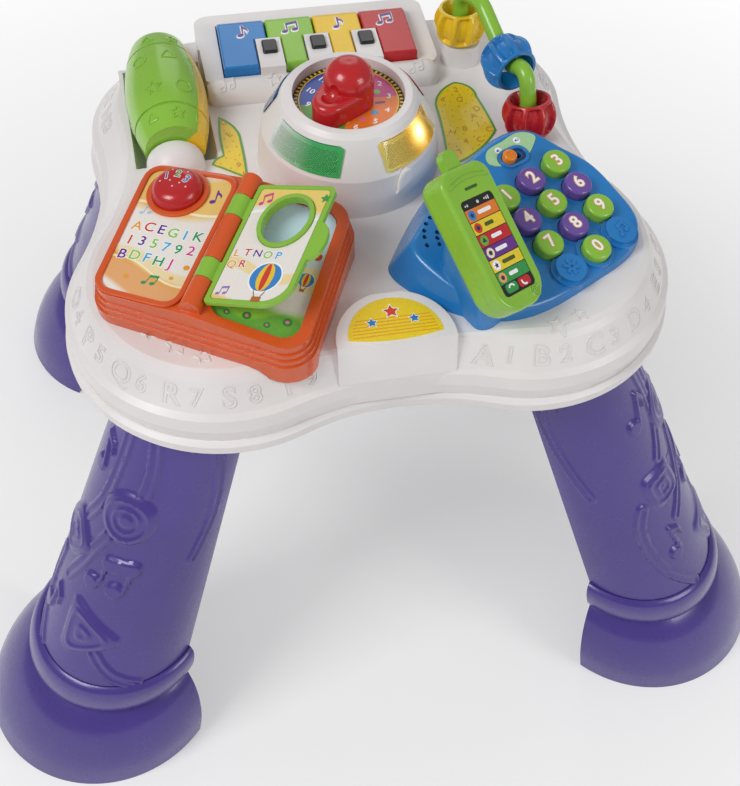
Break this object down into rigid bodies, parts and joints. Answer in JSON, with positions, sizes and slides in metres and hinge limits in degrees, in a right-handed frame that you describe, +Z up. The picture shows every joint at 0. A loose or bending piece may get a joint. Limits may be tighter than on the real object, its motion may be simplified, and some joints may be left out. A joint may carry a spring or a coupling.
{
  "type": "activity table",
  "caption": "Toddler activity table on flared legs: open book, sliding phone keys, turning clock knob, roller, piano keys and a bead wire.",
  "frame": {"origin": "on the floor, in the middle between the four feet", "axes": "+X to the right as the child with the book and phone in front sees it, +Y to the back, +Z up"},
  "size_m": [0.534, 0.464, 0.3799],
  "materials": {
    "shell_white": "satin moulded plastic",
    "leg_purple": "gloss moulded plastic",
    "book_orange": "gloss moulded plastic",
    "page_green": "gloss moulded plastic",
    "printed_paper": "printed adhesive label",
    "deck_print": "printed adhesive label",
    "phone_blue": "gloss moulded plastic",
    "key_green": "gloss moulded plastic",
    "key_purple": "gloss moulded plastic",
    "switch_orange": "gloss moulded plastic",
    "knob_red": "gloss moulded plastic",
    "piano_blue": "gloss moulded plastic",
    "toy_yellow": "gloss moulded plastic",
    "black": "gloss moulded plastic",
    "lens_green": "translucent moulded plastic",
    "lens_yellow": "translucent moulded plastic",
    "lens_blue": "translucent moulded plastic",
    "lens_red": "translucent moulded plastic",
    "dial_print": "printed disc",
    "screen_print": "printed label",
    "steel": "drawn steel",
    "rubber": "silicone rubber",
    "board": "glass-fibre board",
    "inner_black": "matte moulded plastic"
  },
  "bodies": {
    "table": {"top_shell": "shell_white", "bottom_shell": "shell_white", "battery_door": "shell_white", "door_screw": "steel", "batteries": "inner_black", "housing_screws": "steel", "leg_front_left": "leg_purple", "leg_front_right": "leg_purple", "leg_rear_left": "leg_purple", "leg_rear_right": "leg_purple", "dome": "shell_white", "lens_green": "lens_green", "lens_yellow": "lens_yellow", "lens_blue": "lens_blue", "lens_red": "lens_red", "clock_face": "dial_print", "leds": "inner_black", "circuit_board": "board", "speaker": "inner_black", "book_tray": "book_orange", "book_left_label": "printed_paper", "book_right_label": "printed_paper", "page_hinge_pin": "steel", "rubber_domes": "rubber", "phone_base": "phone_blue", "keypad_membrane": "rubber", "switch_label": "deck_print", "roller_axle": "steel", "piano_axle": "steel", "black_keys": "black", "bead_wire": "key_green", "plate_label": "deck_print", "deck_labels": "deck_print"},
    "clock": {"clock_knob": "knob_red"},
    "page": {"page_frame": "page_green", "page_print": "printed_paper"},
    "big_button": {"abc_button": "knob_red"},
    "button_0": {"key_0": "key_green"},
    "button_1": {"key_1": "key_green"},
    "button_2": {"key_2": "key_purple"},
    "button_3": {"key_3": "key_green"},
    "button_4": {"key_4": "key_purple"},
    "button_5": {"key_5": "key_green"},
    "button_6": {"key_6": "key_purple"},
    "button_7": {"key_7": "key_green"},
    "button_8": {"key_8": "key_purple"},
    "button_9": {"key_9": "key_green"},
    "switch": {"switch_knob": "switch_orange"},
    "handset": {"handset_front": "key_green", "handset_back": "key_green", "handset_screen": "screen_print"},
    "roller": {"roller_green": "key_green", "roller_yellow": "toy_yellow"},
    "piano_blue": {"piano_key_blue": "piano_blue"},
    "piano_green": {"piano_key_green": "key_green"},
    "piano_yellow": {"piano_key_yellow": "toy_yellow"},
    "piano_red": {"piano_key_red": "knob_red"},
    "bead_yellow": {"bead_yellow": "toy_yellow"},
    "bead_blue": {"bead_blue": "piano_blue"},
    "bead_red": {"bead_red": "knob_red"}
  },
  "joints": [
    {"name": "clock_turn", "type": "hinge", "parent": "table", "child": "clock", "pos_m": [0, -0.006, 0.347], "axis": [0, 0, 1], "continuous": true},
    {"name": "page_turn", "type": "hinge", "parent": "table", "child": "page", "pos_m": [-0.08007, -0.09463, 0.33859], "axis": [-0.4721, -0.8769, -0.0906], "range_deg": [-21, 140]},
    {"name": "abc_press", "type": "slide", "parent": "table", "child": "big_button", "axis": [0.1195, 0.0382, -0.9921], "range_m": [0, 0.0025], "stiffness_N_per_m": 300, "springref_m": -0.002},
    {"name": "key_0_press", "type": "slide", "parent": "table", "child": "button_0", "axis": [-0.1132, 0.1744, -0.9781], "range_m": [0, 0.0025], "stiffness_N_per_m": 250, "springref_m": -0.002},
    {"name": "key_1_press", "type": "slide", "parent": "table", "child": "button_1", "axis": [-0.1132, 0.1744, -0.9781], "range_m": [0, 0.0025], "stiffness_N_per_m": 250, "springref_m": -0.002},
    {"name": "key_2_press", "type": "slide", "parent": "table", "child": "button_2", "axis": [-0.1132, 0.1744, -0.9781], "range_m": [0, 0.0025], "stiffness_N_per_m": 250, "springref_m": -0.002},
    {"name": "key_3_press", "type": "slide", "parent": "table", "child": "button_3", "axis": [-0.1132, 0.1744, -0.9781], "range_m": [0, 0.0025], "stiffness_N_per_m": 250, "springref_m": -0.002},
    {"name": "key_4_press", "type": "slide", "parent": "table", "child": "button_4", "axis": [-0.1132, 0.1744, -0.9781], "range_m": [0, 0.0025], "stiffness_N_per_m": 250, "springref_m": -0.002},
    {"name": "key_5_press", "type": "slide", "parent": "table", "child": "button_5", "axis": [-0.1132, 0.1744, -0.9781], "range_m": [0, 0.0025], "stiffness_N_per_m": 250, "springref_m": -0.002},
    {"name": "key_6_press", "type": "slide", "parent": "table", "child": "button_6", "axis": [-0.1132, 0.1744, -0.9781], "range_m": [0, 0.0025], "stiffness_N_per_m": 250, "springref_m": -0.002},
    {"name": "key_7_press", "type": "slide", "parent": "table", "child": "button_7", "axis": [-0.1132, 0.1744, -0.9781], "range_m": [0, 0.0025], "stiffness_N_per_m": 250, "springref_m": -0.002},
    {"name": "key_8_press", "type": "slide", "parent": "table", "child": "button_8", "axis": [-0.1132, 0.1744, -0.9781], "range_m": [0, 0.0025], "stiffness_N_per_m": 250, "springref_m": -0.002},
    {"name": "key_9_press", "type": "slide", "parent": "table", "child": "button_9", "axis": [-0.1132, 0.1744, -0.9781], "range_m": [0, 0.0025], "stiffness_N_per_m": 250, "springref_m": -0.002},
    {"name": "volume_slide", "type": "slide", "parent": "table", "child": "switch", "axis": [0.9056, 0.4232, -0.0294], "range_m": [0, 0.007]},
    {"name": "handset_lift", "type": "slide", "parent": "table", "child": "handset", "axis": [0.4618, -0.4009, 0.7912], "range_m": [0, 0.08]},
    {"name": "roller_spin", "type": "hinge", "parent": "table", "child": "roller", "pos_m": [-0.0985, 0.046, 0.317], "axis": [-0.0349, 0.9994, 0], "continuous": true},
    {"name": "piano_blue_press", "type": "hinge", "parent": "table", "child": "piano_blue", "pos_m": [-0.04825, 0.066, 0.3035], "axis": [-1, 0, 0], "range_deg": [0, 4], "stiffness_Nm_per_rad": 0.5, "springref_deg": -2.86},
    {"name": "piano_green_press", "type": "hinge", "parent": "table", "child": "piano_green", "pos_m": [-0.01875, 0.066, 0.3035], "axis": [-1, 0, 0], "range_deg": [0, 4], "stiffness_Nm_per_rad": 0.5, "springref_deg": -2.86},
    {"name": "piano_yellow_press", "type": "hinge", "parent": "table", "child": "piano_yellow", "pos_m": [0.01075, 0.066, 0.3035], "axis": [-1, 0, 0], "range_deg": [0, 4], "stiffness_Nm_per_rad": 0.5, "springref_deg": -2.86},
    {"name": "piano_red_press", "type": "hinge", "parent": "table", "child": "piano_red", "pos_m": [0.04025, 0.066, 0.3035], "axis": [-1, 0, 0], "range_deg": [0, 4], "stiffness_Nm_per_rad": 0.5, "springref_deg": -2.86},
    {"name": "bead_yellow_slide", "type": "slide", "parent": "table", "child": "bead_yellow", "axis": [-0.03, 0.1001, 0.9945], "range_m": [0, 0.008]},
    {"name": "bead_blue_slide", "type": "slide", "parent": "table", "child": "bead_blue", "axis": [0.2873, -0.9578, 0], "range_m": [-0.001, 0.001]},
    {"name": "bead_red_slide", "type": "slide", "parent": "table", "child": "bead_red", "axis": [-0.0744, 0.2479, 0.9659], "range_m": [0, 0.002]}
  ]
}
